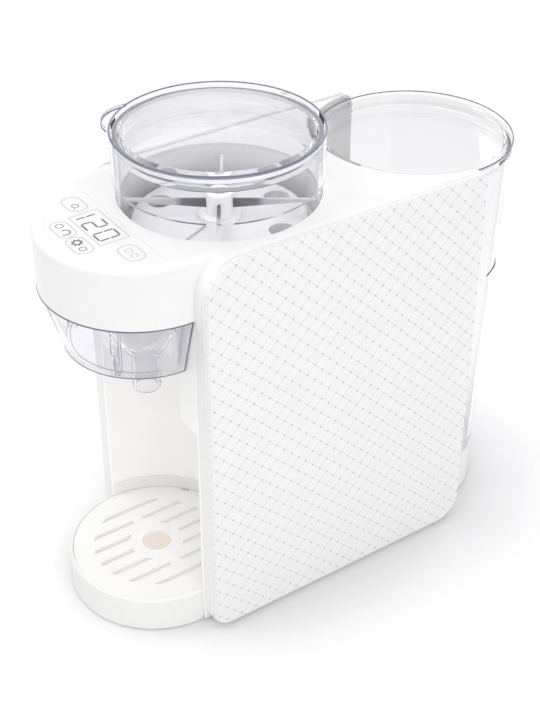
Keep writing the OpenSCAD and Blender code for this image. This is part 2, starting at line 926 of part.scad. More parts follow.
// two-pin mains inlet in the back of the tank's foot
inlet_w = 26;
inlet_h = 16;
inlet_z = 12;
inlet_depth = 18;
pin_x = 4.3;
socket_round_r = 4.6;

module power_inlet() {
    y1 = tank_y + dock_r - 0.6;
    color("dimgray")
        difference() {
            block([-inlet_w / 2, y1 - inlet_depth, inlet_z], [inlet_w / 2, y1, inlet_z + inlet_h]);
            for (s = [-1, 1])
                translate([s * pin_x, y1 - inlet_depth + 3, inlet_z + inlet_h / 2])
                    rotate([-90, 0, 0]) cylinder(r = socket_round_r, h = inlet_depth);
            block([-pin_x, y1 - inlet_depth + 3, inlet_z + inlet_h / 2 - socket_round_r],
                  [pin_x, y1 + eps, inlet_z + inlet_h / 2 + socket_round_r]);
        }
    color("silver")
        for (s = [-1, 1])
            translate([s * pin_x, y1 - inlet_depth + 2.5, inlet_z + inlet_h / 2])
                rotate([-90, 0, 0]) cylinder(r = 1.2, h = inlet_depth - 5);
}

module tank_dock() {
    color("white")
        difference() {
            translate([0, tank_y, 0])
                union() {
                    tube(dock_r - wall, dock_r, foot_h, dock_z);
                    disc(dock_r, dock_z - 3, dock_z);
                    disc(socket_r + 2.5, socket_floor_z - 3, dock_z);
                    // ribs under the top
                    for (a = [45:90:315])
                        rotate([0, 0, a])
                            block([socket_r, -1.2, base_top + 0.3], [dock_r - 1, 1.2, dock_z - 1]);
                    // flange that reaches into the bay
                    intersection() {
                        tube(dock_r - 0.5, bay_r - gap, base_top + 0.3, base_top + 3.3);
                        block([-bay_r, -bay_r, 0], [bay_r, 0, 20]);
                    }
                }
            translate([0, tank_y, 0]) disc(socket_r, socket_floor_z, dock_z + eps);
            // clearance for the base plate, which ends behind the casing's rear corner
            block([-dock_r - 1, tank_y - dock_r - 1, 0],
                  [dock_r + 1, tank_y - rear_bottom_r - 3 + gap, base_top + gap]);
            // outlet from the socket forward to the supply hose
            translate([0, tank_y - 8, 0]) disc(3, 14, socket_floor_z + eps);
            block([-inlet_w / 2 - 0.1, tank_y + dock_r - 10, inlet_z - 0.1],
                  [inlet_w / 2 + 0.1, tank_y + dock_r + 1, inlet_z + inlet_h + 0.1]);
            translate([0, tank_y - dock_r + wall + 1, 14])
                rotate([90, 0, 0]) cylinder(r = 6, h = 20);
        }
    // outlet elbow under the socket, and the pin that lifts the tank's valve
    color("white")
        translate([0, tank_y, 0]) {
            difference() {
                union() {
                    translate([0, -8, 0]) disc(5, 10, socket_floor_z - 2.9);
                    bar([0, -8, 14], [0, -socket_r - 2.9, 14], 4);
                }
                translate([0, -8, 0]) disc(3, 12, socket_floor_z);
                bar([0, -8, 14], [0, -socket_r - 5, 14], 2.2);
            }
            disc(pin_r, socket_floor_z - 0.01, pin_top);
        }
}

module dock_seal() {
    color("dimgray")
        translate([0, tank_y, 0]) tube(spigot_r - 3.5, socket_r - 0.3, socket_floor_z, spigot_z - 0.05);
}

// ---- water tank ----

function tank_r_at(z) =
    tank_base_r + (tank_top_r - tank_base_r) * (z - tank_base_z) / (tank_rim_z - tank_base_z);

module tank_outline() {
    bead = 0.7;
    foot = 2;
    difference() {
        polygon([
            [0, tank_base_z],
            [tank_base_r - foot, tank_base_z],
            [tank_base_r, tank_base_z + foot],
            [tank_r_at(tank_bead_z - 1.5), tank_bead_z - 1.5],
            [tank_r_at(tank_bead_z) + bead, tank_bead_z - 1],
            [tank_r_at(tank_bead_z) + bead, tank_bead_z + 1],
            [tank_r_at(tank_bead_z + 1.5), tank_bead_z + 1.5],
            [tank_top_r, tank_rim_z],
            [0, tank_rim_z]]);
        polygon([
            [-1, tank_floor_top],
            [tank_base_r - tank_t - foot, tank_floor_top],
            [tank_base_r - tank_t, tank_floor_top + foot],
            [tank_top_r - tank_t, tank_rim_z + 0.01],
            [-1, tank_rim_z + 0.01]]);
    }
}

module water_tank() {
    color("lightsteelblue", 0.5)
        translate([0, tank_y, 0])
            difference() {
                union() {
                    rotate_extrude() tank_outline();
                    disc(spigot_r, spigot_z, tank_base_z + 0.01);
                    tube(cage_r, cage_r + 1.5, tank_floor_top - 0.01, tank_floor_top + 4);
                }
                disc(valve_bore_r, spigot_z - eps, tank_floor_top + eps);
            }
}

// cage over the valve, which guides its stem and holds its spring
module valve_cage() {
    r = cage_r - 0.05;
    color("white")
        translate([0, tank_y, 0])
            difference() {
                disc(r, tank_floor_top, cage_top);
                disc(r - 1.6, tank_floor_top - eps, cage_top - 2);
                disc(valve_stem_r + run_gap, 0, deck_z);
                for (a = [0:60:300])
                    rotate([0, 0, a])
                        block([r - 4, -3, tank_floor_top + 5], [r + 2, 3, cage_top - 4]);
            }
}

pin_top = spigot_z + 9;

module tank_valve() {
    color("gainsboro")
        translate([0, tank_y, 0]) {
            disc(valve_stem_r, pin_top, cage_top + 2);
            disc(valve_disc_r, valve_rest_z + washer_t, valve_rest_z + washer_t + valve_disc_t);
            // fins that keep the stem in the middle of the bore
            for (a = [0, 90])
                rotate([0, 0, a])
                    block([-valve_bore_r + gap, -0.8, pin_top + 0.5],
                          [valve_bore_r - gap, 0.8, valve_rest_z - 0.01 + washer_t]);
        }
}

module valve_washer() {
    color("dimgray")
        translate([0, tank_y, 0])
            tube(valve_bore_r + 0.2, valve_disc_r - 0.4, valve_rest_z, valve_rest_z + washer_t);
}

// open coil, swept along its own helix
function coil_point(t, z0, z1) =
    [spring_r * cos(t * 360), spring_r * sin(t * 360), z0 + (z1 - z0) * t / spring_turns];

module valve_spring() {
    steps = 8 * spring_turns;
    sides = 6;
    z0 = valve_rest_z + washer_t + valve_disc_t + spring_wire + 0.1;
    z1 = cage_top - 2 - spring_wire - 0.1;
    rings = [for (i = [0:steps])
        let (t = i / 8, c = coil_point(t, z0, z1), a = t * 360)
        [for (k = [0:sides - 1])
            let (b = k * 360 / sides)
            c + spring_wire * [cos(b) * cos(a), cos(b) * sin(a), sin(b)]]];
    points = [for (r = rings) for (p = r) p];
    walls = [for (i = [0:steps - 1]) for (k = [0:sides - 1])
        let (a = i * sides + k, b = i * sides + (k + 1) % sides)
        each [[a, b, b + sides], [a, b + sides, a + sides]]];
    first = [for (k = [1:sides - 2]) [0, k + 1, k]];
    last = [for (k = [1:sides - 2]) [steps * sides, steps * sides + k, steps * sides + k + 1]];
    color("silver")
        translate([0, tank_y, 0]) polyhedron(points, concat(walls, first, last));
}

// dished lid with an outer skirt; shared by both lids, in R and Z
module lid_outline(r, top, dish, plug, skirt_in, skirt_bottom, t) {
    edge = 1;
    polygon([
        [0, top - dish],
        [plug - t - edge, top - dish],
        [plug - t, top - dish + edge],
        [plug - t, top - edge],
        [plug - t + edge, top],
        [r - edge, top],
        [r, top - edge],
        [r - 0.4, skirt_bottom],
        [skirt_in, skirt_bottom],
        [skirt_in, top - t - edge],
        [plug, top - t - edge],
        [plug, top - dish - t + edge],
        [plug - edge, top - dish - t],
        [0, top - dish - t]]);
}

module tank_lid() {
    color("lightsteelblue", 0.5)
        translate([0, tank_y, 0])
            rotate_extrude()
                lid_outline(tank_lid_r, tank_lid_z, tank_lid_dish, tank_top_r - tank_t - gap,
                    tank_top_r + gap, tank_rim_z - 4, 2);
}

// ---- powder bowl ----

module powder_bowl() {
    edge = 1.5;
    color("lightsteelblue", 0.5)
        translate([0, bowl_y, 0])
            difference() {
                rotate_extrude()
                    difference() {
                        polygon([
                            [0, bowl_base_z],
                            [bowl_r - edge, bowl_base_z],
                            [bowl_r, bowl_base_z + edge],
                            [bowl_r, bowl_rim_z],
                            [0, bowl_rim_z]]);
                        polygon([
                            [-1, bowl_floor_top],
                            [bowl_r - bowl_t - edge, bowl_floor_top],
                            [bowl_r - bowl_t, bowl_floor_top + edge],
                            [bowl_r - bowl_t, bowl_rim_z + 1],
                            [-1, bowl_rim_z + 1]]);
                    }
                disc(dog_r + 0.6, 0, bowl_floor_top + eps);
                translate([0, -outlet_reach, 0]) disc(outlet_r, 0, bowl_floor_top + eps);
            }
}

// wipes each pocket level before it reaches the outlet; clips to the bowl's wall
module scraper_plate() {
    span = 50;
    color("gainsboro")
        translate([0, bowl_y, scraper_z])
            linear_extrude(scraper_t)
                difference() {
                    intersection() {
                        circle(bowl_r - bowl_t - 0.02);
                        rotate([0, 0, -90])
                            polygon([[0, 0], [200, -200 * tan(span / 2)], [200, 200 * tan(span / 2)]]);
                    }
                    circle(hub_r + 8);
                }
}

module metering_wheel() {
    color("gainsboro")
        translate([0, bowl_y, 0])
            difference() {
                disc(wheel_r, wheel_z, wheel_top);
                // the dog reaches into a six-sided socket
                translate([0, 0, wheel_z - eps])
                    cylinder(r = dog_r + 0.25, h = dog_top + gap - wheel_z + eps, $fn = 6);
                disc(2, 0, deck_z);
                for (i = [0:pocket_count - 1])
                    rotate([0, 0, -90 + i * 360 / pocket_count])
                        translate([outlet_reach, 0, 0]) disc(pocket_r, 0, deck_z);
            }
}

// one stirring arm in R and Z, deep at the hub and thin at its tip
module arm_outline() {
    rise = 3;
    tip = 1.4;
    polygon([
        [hub_r - 1, arm_z - rise],
        [arm_reach, arm_z + rise - tip],
        [arm_reach, arm_z + rise],
        [hub_r - 1, arm_z + rise]]);
}

module stirrer() {
    arm_t = 2;
    color("white")
        translate([0, bowl_y, 0])
            union() {
                rotate_extrude()
                    polygon([
                        [2, wheel_top],
                        [hub_r + 5, wheel_top],
                        [hub_r + 5, wheel_top + 2.5],
                        [hub_r, wheel_top + 2.5],
                        [hub_r, hub_top - 3],
                        [4.2, hub_top - 3],
                        [4.2, hub_top - 8],
                        [2, hub_top - 8]]);
                for (i = [0:arm_count - 1])
                    rotate([0, 0, 55.6 + i * 360 / arm_count])
                        translate([0, arm_t / 2, 0])
                            rotate([90, 0, 0]) linear_extrude(arm_t) arm_outline();
            }
}

// pin and nut that hold the wheel and the stirrer together
module hub_nut() {
    color("silver")
        translate([0, bowl_y, 0]) {
            disc(2 - 0.02, dog_top + gap, hub_top - 7.9);
            disc(4, hub_top - 8, hub_top - 3.5);
        }
}

module powder_lid() {
    color("lightsteelblue", 0.5)
        translate([0, bowl_y, 0]) {
            rotate_extrude()
                lid_outline(lid_r, lid_top_z, lid_dish, lid_plug_r, lid_wall_in_r, lid_skirt_z, lid_t);
            thumb_tab(221, lid_r, lid_top_z - 3.7, lid_top_z - 1.2);
        }
}

// soft ring between the lid and the bowl's rim
module lid_seal() {
    color("white")
        translate([0, bowl_y, 0])
            tube(bowl_r - bowl_t + 0.1, bowl_r - 0.1, bowl_rim_z + 0.1, lid_top_z - lid_t - 1);
}

// ---- mixing funnel ----

module cover_profile(r0, z0, r1, z1) {
    polygon([[0, z0], [r0, z0], [r1, z1], [0, z1]]);
}

rib_angle = 49;
rib_t = 2;
rib_depth = 8;

// one rib of the skirt in R and Z, with its upper outer corner cut off
module rib_outline(z1) {
    z0 = cover_base_z + 0.5;
    slope = cover_taper / (head_under_z - cover_base_z);
    shoulder = cover_base_z + 25;
    polygon([
        [cover_base_r - rib_depth, z0],
        [cover_base_r - 1, z0],
        [cover_base_r - 1 + slope * (shoulder - z0), shoulder],
        [cover_base_r + 2.5, z1],
        [cover_base_r - rib_depth, z1]]);
}

// clear skirt round the front of the funnel, with runners that slide in the niche
module funnel_cover() {
    top = head_under_z - gap;
    r_top = head_r - 0.3;
    slab = 3;
    cut_r = nozzle_r + funnel_t + 12;
    color("lightsteelblue", 0.5)
        union() {
            intersection() {
                translate([0, nozzle_y, 0])
                    difference() {
                        rotate_extrude() cover_profile(cover_base_r, cover_base_z, r_top, top);
                        translate([0, 0, 0.01])
                            rotate_extrude()
                                cover_profile(cover_base_r - funnel_t, cover_base_z + slab,
                                    r_top - funnel_t, top);
                        disc(cut_r, 0, deck_z);
                    }
                block([-half_w, nozzle_y - head_r, 0], [half_w, nozzle_y - gap, deck_z]);
            }
            // ribs that stiffen the skirt from inside
            on_both_sides()
                translate([0, nozzle_y, 0])
                    rotate([0, 0, -rib_angle])
                        translate([0, rib_t / 2, 0])
                            rotate([90, 0, 0]) linear_extrude(rib_t) rib_outline(top - 1.2);
            // end walls beside the niche, closing the skirt at the front face
            on_both_sides()
                intersection() {
                    translate([0, nozzle_y, 0])
                        rotate_extrude()
                            cover_profile(cover_base_r, cover_base_z, r_top, top);
                    block([niche_half_w - 2.7, nozzle_y - gap - funnel_t, 0],
                          [head_r, nozzle_y - gap, deck_z]);
                }
            // runners on the rails
            on_both_sides() {
                block([niche_half_w - 4.7, nozzle_y - gap - funnel_t, rail_z + rail_h + gap],
                      [niche_half_w - 0.4, nozzle_y + 38, rail_z + rail_h + gap + 2.5]);
            }
        }
}

module mixing_funnel() {
    t = funnel_t;
    color("lightsteelblue", 0.5)
        translate([0, nozzle_y, 0])
            difference() {
                union() {
                    rotate_extrude()
                        polygon([
                            [nozzle_r - 0.8, nozzle_z],
                            [nozzle_r, nozzle_z + 1.5],
                            [nozzle_r, cone_end_z],
                            [nozzle_r + 4, cone_end_z + 6],
                            [mouth_r - 3, funnel_top - 12],
                            [mouth_r - 2, funnel_top],
                            [mouth_r - 2 - t, funnel_top],
                            [mouth_r - 3 - t, funnel_top - 12 + 1],
                            [nozzle_r + 4 - t, cone_end_z + 7.5],
                            [nozzle_r - t, cone_end_z + 1],
                            [nozzle_r - t, nozzle_z]]);
                    // ears that hang on the cover's runners
                    difference() {
                        on_both_sides()
                            block([mouth_r - 12, -8, rail_z + rail_h + gap + 2.5],
                                  [niche_half_w - 3, 8, rail_z + rail_h + gap + 4.5]);
                        disc(mouth_r - 3.4, 0, deck_z);
                    }
                }
            }
}

// ---- drip tray ----

module tray_outline() {
    difference() {
        polygon([
            [0, tray_floor_z],
            [tray_r, tray_floor_z],
            [tray_r, tray_rim_z],
            [tray_r - tray_t, tray_rim_z],
            [tray_r - tray_t, tray_ledge_z],
            [tray_r - tray_t - 2, tray_ledge_z],
            [tray_r - tray_t - 2, tray_floor_z + 4],
            [tray_r - tray_t - 4, tray_floor_z + 2],
            [0, tray_floor_z + 2]]);
    }
}

module drip_tray() {
    color("white")
        translate([0, nozzle_y, 0])
            difference() {
                union() {
                    rotate_extrude() tray_outline();
                    // skirt that hides the base plate in front
                    intersection() {
                        tube(tray_r - tray_t, tray_r, tray_skirt_z, tray_floor_z + 0.01);
                        block([-tray_r, -tray_r, 0], [tray_r, -gap, 20]);
                    }
                    // lip round the back
                    intersection() {
                        tube(tray_r - tray_t + 0.4, tray_r, tray_rim_z - 0.01, tray_lip_z);
                        block([-tray_r, 0, 0], [tray_r, tray_r, 50]);
                    }
                }
                // rounded outer rim in front
                intersection() {
                    rotate_extrude()
                        corner_cut(tray_r, tray_rim_z, -1, -1, tray_t - 0.2);
                    block([-tray_r - 2, -tray_r - 2, 0], [tray_r + 2, 0, 50]);
                }
            }
}

// plain seven-row slot pattern, broken by the middle boss and by a cross rib
module grille_slots() {
    rib = 4;
    for (k = [-3:3])
        intersection() {
            difference() {
                circle(slot_reach_r);
                circle(grille_boss_r);
                if (abs(k) == 2)
                    translate([-slot_reach_r, -rib]) square([2 * slot_reach_r, 2 * rib]);
            }
            translate([k * slot_pitch - slot_w / 2, -slot_reach_r])
                square([slot_w, 2 * slot_reach_r]);
        }
}

module drip_grille() {
    z0 = tray_ledge_z;
    color("white")
        translate([0, nozzle_y, z0])
            linear_extrude(grille_t)
                difference() {
                    circle(grille_r);
                    grille_slots();
                    circle(grille_hole_r);
                    // finger notch in the edge
                    rotate([0, 0, 128]) translate([grille_r - 2, -3]) square([4, 6]);
                }
}

base_plate();
rubber_feet();
base_screws();
left_housing();
right_housing();
case_screws();
left_panel();
right_panel();
top_cover();
head_floor();
recess_liner();
rear_cover();
bowl_well();
control_film();
display_board();
display_digits();
motor_bracket();
dosing_motor();
motor_pinion();
drive_gear();
powder_chute();
water_spout();
water_pump();
water_heater();
heater_clamp();
supply_hose();
pressure_hose();
outlet_hose();
main_board();
power_inlet();
tank_dock();
dock_seal();
powder_bowl();
scraper_plate();
metering_wheel();
stirrer();
hub_nut();
powder_lid();
lid_seal();
water_tank();
valve_cage();
tank_valve();
valve_washer();
valve_spring();
tank_lid();
funnel_cover();
mixing_funnel();
drip_tray();
drip_grille();
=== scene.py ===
import math

import bmesh
import bpy
from mathutils import Matrix, Vector


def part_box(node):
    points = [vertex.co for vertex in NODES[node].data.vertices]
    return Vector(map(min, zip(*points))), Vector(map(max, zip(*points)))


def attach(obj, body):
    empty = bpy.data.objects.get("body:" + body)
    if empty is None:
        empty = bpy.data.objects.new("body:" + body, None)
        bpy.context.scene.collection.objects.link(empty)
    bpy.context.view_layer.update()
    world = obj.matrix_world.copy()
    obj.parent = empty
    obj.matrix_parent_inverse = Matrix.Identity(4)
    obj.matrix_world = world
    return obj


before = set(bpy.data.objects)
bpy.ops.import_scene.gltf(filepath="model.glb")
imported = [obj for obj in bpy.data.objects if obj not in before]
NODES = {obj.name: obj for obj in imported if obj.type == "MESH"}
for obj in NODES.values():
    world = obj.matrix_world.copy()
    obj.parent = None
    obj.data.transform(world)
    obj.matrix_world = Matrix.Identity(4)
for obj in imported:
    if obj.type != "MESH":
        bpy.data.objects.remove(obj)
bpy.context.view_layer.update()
MM = 0.001

# The upright axes, in metres, read from the frame itself.
LOW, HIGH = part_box("powder_bowl")
BOWL_Y = (LOW.y + HIGH.y) / 2
LOW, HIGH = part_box("drip_tray")
NOZZLE_Y = (LOW.y + HIGH.y) / 2
LOW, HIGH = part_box("water_tank")
TANK_Y = (LOW.y + HIGH.y) / 2
DECK_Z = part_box("control_film")[1].z

# The floor, in metres: how far its contact shadow reaches, and where it fades to white.
SHADOW_REACH = 0.12
FADE_START, FADE_END = 0.32, 0.75


# ---- camera, light and floor ----

def add_camera():
    """The photograph's view: angles, distance and framing fitted to the rims and edges."""
    az, el = math.radians(55.6), math.radians(35.0)
    distance, shift_right, shift_up = 0.9674, 0.0320, 0.0096
    back = Vector((math.sin(az) * math.cos(el), -math.cos(az) * math.cos(el), math.sin(el)))
    right = Vector((math.cos(az), math.sin(az), 0))
    up = back.cross(right)
    cam = bpy.data.cameras.new("camera")
    cam.sensor_width = 36
    cam.lens = 70.19
    cam.clip_end = 20
    obj = bpy.data.objects.new("camera", cam)
    bpy.context.scene.collection.objects.link(obj)
    aim = Vector((0, BOWL_Y, 0.150))
    place = aim + back * distance + right * shift_right + up * shift_up
    turn = Matrix((right, up, back)).transposed().to_4x4()
    obj.matrix_world = Matrix.Translation(place) @ turn
    bpy.context.scene.camera = obj


def add_area(name, at, to, size, power):
    light = bpy.data.lights.new(name, "AREA")
    light.shape = "DISK"
    light.size = size
    light.energy = power
    obj = bpy.data.objects.new(name, light)
    bpy.context.scene.collection.objects.link(obj)
    obj.location = at
    obj.rotation_euler = (Vector(to) - Vector(at)).to_track_quat("-Z", "Y").to_euler()


def rays_that_see(nt):
    """1 for rays that show the backdrop itself: camera, glossy and transmitted ones."""
    path = nt.nodes.new("ShaderNodeLightPath")
    a = nt.nodes.new("ShaderNodeMath")
    a.operation = "MAXIMUM"
    nt.links.new(path.outputs["Is Camera Ray"], a.inputs[0])
    nt.links.new(path.outputs["Is Glossy Ray"], a.inputs[1])
    b = nt.nodes.new("ShaderNodeMath")
    b.operation = "MAXIMUM"
    nt.links.new(a.outputs[0], b.inputs[0])
    nt.links.new(path.outputs["Is Transmission Ray"], b.inputs[1])
    return b.outputs[0]


def add_world():
    """Plain white light all round, and plain white where it is seen."""
    world = bpy.data.worlds.new("studio")
    bpy.context.scene.world = world
    world.use_nodes = True
    nt = world.node_tree
    nt.nodes.clear()
    out = nt.nodes.new("ShaderNodeOutputWorld")
    lit = nt.nodes.new("ShaderNodeBackground")
    lit.inputs["Color"].default_value = (1, 1, 1, 1)
    lit.inputs["Strength"].default_value = 0.76
    seen = nt.nodes.new("ShaderNodeBackground")
    seen.inputs["Color"].default_value = (1, 1, 1, 1)
    seen.inputs["Strength"].default_value = 1.0
    mix = nt.nodes.new("ShaderNodeMixShader")
    nt.links.new(rays_that_see(nt), mix.inputs[0])
    nt.links.new(lit.outputs[0], mix.inputs[1])
    nt.links.new(seen.outputs[0], mix.inputs[2])
    nt.links.new(mix.outputs[0], out.inputs["Surface"])


def add_floor():
    """A pale floor: soft contact shadows near the object, plain white further out."""
    bm = bmesh.new()
    bmesh.ops.create_grid(bm, x_segments=2, y_segments=2, size=6)
    mesh = bpy.data.meshes.new("floor")
    bm.to_mesh(mesh)
    bm.free()
    floor = bpy.data.objects.new("floor", mesh)
    bpy.context.scene.collection.objects.link(floor)
    mat = bpy.data.materials.new("floor")
    mat.use_nodes = True
    nt = mat.node_tree
    nt.nodes.clear()
    out = nt.nodes.new("ShaderNodeOutputMaterial")
    plain = nt.nodes.new("ShaderNodeBsdfDiffuse")
    plain.inputs["Color"].default_value = (0.80, 0.80, 0.80, 1)
    dim = nt.nodes.new("ShaderNodeBsdfDiffuse")
    # a soft contact shadow close to whatever stands on the floor
    near = nt.nodes.new("ShaderNodeAmbientOcclusion")
    near.inputs["Distance"].default_value = SHADOW_REACH
    near.samples = 12
    shade = nt.nodes.new("ShaderNodeValToRGB")
    shade.color_ramp.elements[0].position = 0.44
    shade.color_ramp.elements[0].color = (0.63, 0.63, 0.64, 1)
    shade.color_ramp.elements[1].position = 0.99
    shade.color_ramp.elements[1].color = (0.93, 0.93, 0.94, 1)
    nt.links.new(near.outputs["AO"], shade.inputs["Fac"])
    nt.links.new(shade.outputs["Color"], dim.inputs["Color"])
    glow = nt.nodes.new("ShaderNodeEmission")
    glow.inputs["Color"].default_value = (1, 1, 1, 1)
    glow.inputs["Strength"].default_value = 0.14
    add = nt.nodes.new("ShaderNodeAddShader")
    nt.links.new(dim.outputs[0], add.inputs[0])
    nt.links.new(glow.outputs[0], add.inputs[1])
    # plain white further out, where the lamps fade
    place = nt.nodes.new("ShaderNodeTexCoord")
    reach = nt.nodes.new("ShaderNodeVectorMath")
    reach.operation = "LENGTH"
    nt.links.new(place.outputs["Object"], reach.inputs[0])
    far = nt.nodes.new("ShaderNodeMapRange")
    far.inputs["From Min"].default_value = FADE_START
    far.inputs["From Max"].default_value = FADE_END
    nt.links.new(reach.outputs["Value"], far.inputs["Value"])
    white = nt.nodes.new("ShaderNodeEmission")
    fade = nt.nodes.new("ShaderNodeMixShader")
    nt.links.new(far.outputs["Result"], fade.inputs[0])
    nt.links.new(add.outputs[0], fade.inputs[1])
    nt.links.new(white.outputs[0], fade.inputs[2])
    mix = nt.nodes.new("ShaderNodeMixShader")
    nt.links.new(rays_that_see(nt), mix.inputs[0])
    nt.links.new(plain.outputs[0], mix.inputs[1])
    nt.links.new(fade.outputs[0], mix.inputs[2])
    nt.links.new(mix.outputs[0], out.inputs["Surface"])
    mesh.materials.append(mat)


# ---- materials ----

class Tree:
    """A material's node tree with short calls for the nodes it uses."""

    def __init__(self, name):
        self.mat = bpy.data.materials.new(name)
        self.mat.use_nodes = True
        self.nt = self.mat.node_tree
        self.bsdf = self.nt.nodes["Principled BSDF"]
        self.out = self.nt.nodes["Material Output"]

    def node(self, kind, **settings):
        n = self.nt.nodes.new(kind)
        for key, value in settings.items():
            setattr(n, key, value)
        return n

    def link(self, a, b):
        self.nt.links.new(a, b)

    def set(self, **values):
        for key, value in values.items():
            self.bsdf.inputs[key.replace("_", " ")].default_value = value

    def place(self):
        return self.node("ShaderNodeTexCoord").outputs["Object"]

    def math(self, operation, *values):
        n = self.node("ShaderNodeMath", operation=operation)
        for i, v in enumerate(values):
            if isinstance(v, (int, float)):
                n.inputs[i].default_value = v
            else:
                self.link(v, n.inputs[i])
        return n.outputs[0]

    def length(self, a, b):
        squares = self.math("ADD", self.math("MULTIPLY", a, a), self.math("MULTIPLY", b, b))
        return self.math("SQRT", squares)

    def noise(self, scale, detail=3, roughness=0.5, at=None):
        n = self.node("ShaderNodeTexNoise")
        n.inputs["Scale"].default_value = scale
        n.inputs["Detail"].default_value = detail
        n.inputs["Roughness"].default_value = roughness
        self.link(at or self.place(), n.inputs["Vector"])
        return n.outputs["Fac"]

    def ramp(self, fac, stops):
        n = self.node("ShaderNodeValToRGB")
        while len(n.color_ramp.elements) < len(stops):
            n.color_ramp.elements.new(0.5)
        for e, (pos, colour) in zip(n.color_ramp.elements, stops):
            e.position = pos
            e.color = (*colour, 1)
        self.link(fac, n.inputs["Fac"])
        return n.outputs["Color"]

    def span(self, fac, low, high):
        n = self.node("ShaderNodeMapRange")
        n.inputs["To Min"].default_value = low
        n.inputs["To Max"].default_value = high
        self.link(fac, n.inputs["Value"])
        return n.outputs["Result"]

    def bump(self, height, strength, distance=0.0005):
        n = self.node("ShaderNodeBump")
        n.inputs["Strength"].default_value = strength
        n.inputs["Distance"].default_value = distance
        self.link(height, n.inputs["Height"])
        self.link(n.outputs["Normal"], self.bsdf.inputs["Normal"])


def plastic(name, colour, rough, spread=0.012, grain=0.02, coat=0.0):
    """Moulded plastic: faint mottling, uneven gloss and a fine skin."""
    t = Tree(name)
    mottle = t.noise(35, 4, 0.6)
    light = tuple(min(1, c * (1 + spread)) for c in colour)
    dark = tuple(c * (1 - spread) for c in colour)
    t.link(t.ramp(mottle, [(0.3, dark), (0.7, light)]), t.bsdf.inputs["Base Color"])
    t.link(t.span(t.noise(60, 5, 0.6), rough * 0.8, rough * 1.25), t.bsdf.inputs["Roughness"])
    t.bump(t.noise(900, 2), grain)
    t.set(IOR=1.46, Coat_Weight=coat, Coat_Roughness=0.05)
    return t.mat


def metal(name, colour, rough):
    """Plain metal with fine lines along the upright."""
    t = Tree(name)
    mapping = t.node("ShaderNodeMapping")
    mapping.inputs["Scale"].default_value = (1, 1, 30)
    t.link(t.place(), mapping.inputs["Vector"])
    line = t.noise(400, 4, 0.6, at=mapping.outputs[0])
    t.link(t.ramp(line, [(0.3, tuple(c * 0.88 for c in colour)), (0.7, colour)]),
           t.bsdf.inputs["Base Color"])
    t.link(t.span(line, rough * 0.7, rough * 1.3), t.bsdf.inputs["Roughness"])
    t.bump(line, 0.05, 0.0002)
    t.set(Metallic=1.0)
    return t.mat


def clear(name, tint, shade, density):
    """Clear plastic that takes up a little light inside, and lets lamps shine through."""
    t = Tree(name)
    t.set(IOR=1.07, Transmission_Weight=1.0, Coat_Weight=0.5, Coat_Roughness=0.02)
    # seen edge-on, the light crosses more of the plastic
    edge = t.node("ShaderNodeLayerWeight")
    edge.inputs["Blend"].default_value = 0.5
    grazed = (tint[0] * 0.60, tint[1] * 0.60, tint[2] * 0.66)
    t.link(t.ramp(edge.outputs["Facing"], [(0.0, tint), (0.72, tint), (0.97, grazed)]),
           t.bsdf.inputs["Base Color"])
    t.link(t.span(t.noise(18, 3), 0.009, 0.024), t.bsdf.inputs["Roughness"])
    t.bump(t.noise(30, 2), 0.02, 0.0004)
    path = t.node("ShaderNodeLightPath")
    through = t.node("ShaderNodeBsdfTransparent")
    through.inputs["Color"].default_value = (*tint, 1)
    mix = t.node("ShaderNodeMixShader")
    t.link(path.outputs["Is Shadow Ray"], mix.inputs[0])
    t.link(t.bsdf.outputs[0], mix.inputs[1])
    t.link(through.outputs[0], mix.inputs[2])
    t.link(mix.outputs[0], t.out.inputs["Surface"])
    soak = t.node("ShaderNodeVolumeAbsorption")
    soak.inputs["Color"].default_value = (*shade, 1)
    soak.inputs["Density"].default_value = density
    t.link(soak.outputs[0], t.out.inputs["Volume"])
    return t.mat


def lattice():
    """Glossy white panel with a fine printed diagonal lattice.

    Dotted lines run both ways, with a dot at each crossing. Widths are shares of the pitch.
    """
    t = Tree("panel_print")
    pitch = 0.01175
    dot_y, dot_z = 0.0814, 0.2715
    line_half, dot_r = 0.030, 0.088
    dashes_per_pitch, dash_gap = 9, -0.35
    xyz = t.node("ShaderNodeSeparateXYZ")
    t.link(t.place(), xyz.inputs[0])
    y, z = xyz.outputs["Y"], xyz.outputs["Z"]
    u = t.math("DIVIDE", t.math("SUBTRACT", t.math("ADD", y, z), dot_y + dot_z), pitch)
    v = t.math("DIVIDE", t.math("SUBTRACT", t.math("SUBTRACT", y, z), dot_y - dot_z), pitch)

    def off(value):
        """distance to the nearest whole number"""
        return t.math("ABSOLUTE", t.math("SUBTRACT", value, t.math("ROUND", value)))

    du, dv = off(u), off(v)

    def line(across, along):
        thin = t.math("LESS_THAN", across, line_half)
        wave = t.math("SINE", t.math("MULTIPLY", along, 2 * math.pi * dashes_per_pitch))
        return t.math("MULTIPLY", thin, t.math("GREATER_THAN", wave, dash_gap))

    lines = t.math("MAXIMUM", line(du, v), line(dv, u))
    dot = t.math("LESS_THAN", t.length(du, dv), dot_r)
    ink = t.math("MAXIMUM", t.math("MULTIPLY", lines, 0.50), t.math("MULTIPLY", dot, 0.85))
    worn = t.math("MULTIPLY", ink, t.span(t.noise(260, 2), 0.75, 1.0))
    t.link(t.ramp(worn, [(0.0, (0.90, 0.90, 0.902)), (1.0, (0.42, 0.42, 0.44))]),
           t.bsdf.inputs["Base Color"])
    t.link(t.span(t.noise(50, 4), 0.16, 0.26), t.bsdf.inputs["Roughness"])
    t.bump(t.noise(700, 2), 0.015)
    t.set(IOR=1.46, Coat_Weight=0.3, Coat_Roughness=0.04)
    return t.mat


ARM_REACH = 0.062


